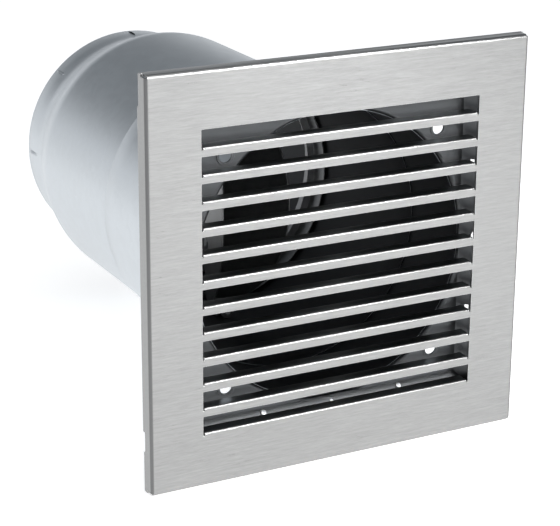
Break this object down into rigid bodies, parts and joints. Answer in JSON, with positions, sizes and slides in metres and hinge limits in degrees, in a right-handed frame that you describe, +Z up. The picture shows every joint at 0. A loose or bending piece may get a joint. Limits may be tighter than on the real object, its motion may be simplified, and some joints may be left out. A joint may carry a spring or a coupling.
{
  "type": "wall duct terminal with louvred cover and back-draught damper",
  "caption": "Square brushed-steel louvred wall cover on a folded mounting tray, with a telescoping round duct and a hinged two-blade back-draught damper inside.",
  "frame": {"origin": "duct axis in the wall plane, at the back face of the mounting tray", "axes": "+X right seen from the front, +Z up, -Y out of the wall towards the viewer, +Y along the duct into the wall"},
  "size_m": [0.24, 0.304, 0.24],
  "materials": {
    "brushed_steel_cover": "fine horizontal brushed stainless sheet",
    "folded_steel_tray": "smooth folded steel sheet",
    "galvanised_duct": "smooth galvanised steel, cool grey",
    "spring_steel": "plain spring steel strip",
    "rivet_metal": "plain rivet heads",
    "damper_sheet": "plain rolled sheet",
    "spindle_steel": "ground bright rod",
    "bush_plastic": "dark moulded plastic",
    "gasket_rubber": "soft black rubber"
  },
  "bodies": {
    "housing": {"mounting_pan": "folded_steel_tray", "front_sleeve": "galvanised_duct", "cover_springs": "spring_steel", "arm_rivets": "rivet_metal"},
    "cover": {"cover_plate": "brushed_steel_cover"},
    "rear_duct": {"rear_tube": "galvanised_duct", "damper_ring": "damper_sheet", "ring_gasket": "gasket_rubber", "damper_spindle": "spindle_steel", "upper_bush": "bush_plastic", "lower_bush": "bush_plastic", "closing_spring": "spring_steel", "opening_stop": "damper_sheet", "bumper_bracket": "galvanised_duct", "bumper_pin": "spindle_steel", "bumper_ring": "gasket_rubber"},
    "right_flap": {"right_blade": "damper_sheet", "right_hinge_straps": "spring_steel", "right_strap_rivets": "rivet_metal", "right_spring_leg": "spring_steel"},
    "left_flap": {"left_blade": "damper_sheet", "left_hinge_straps": "spring_steel", "left_strap_rivets": "rivet_metal", "left_spring_leg": "spring_steel"}
  },
  "joints": [
    {"name": "cover_pull", "type": "slide", "parent": "housing", "child": "cover", "axis": [0, -1, 0], "range_m": [0, 0.04]},
    {"name": "duct_telescope", "type": "slide", "parent": "housing", "child": "rear_duct", "axis": [0, 1, 0], "range_m": [-0.03, 0.06]},
    {"name": "right_flap_hinge", "type": "hinge", "parent": "rear_duct", "child": "right_flap", "pos_m": [0, 0.17, 0], "axis": [0, 0, -1], "range_deg": [-73, 7]},
    {"name": "left_flap_hinge", "type": "hinge", "parent": "rear_duct", "child": "left_flap", "pos_m": [0, 0.17, 0], "axis": [0, 0, 1], "range_deg": [-73, 7]}
  ]
}
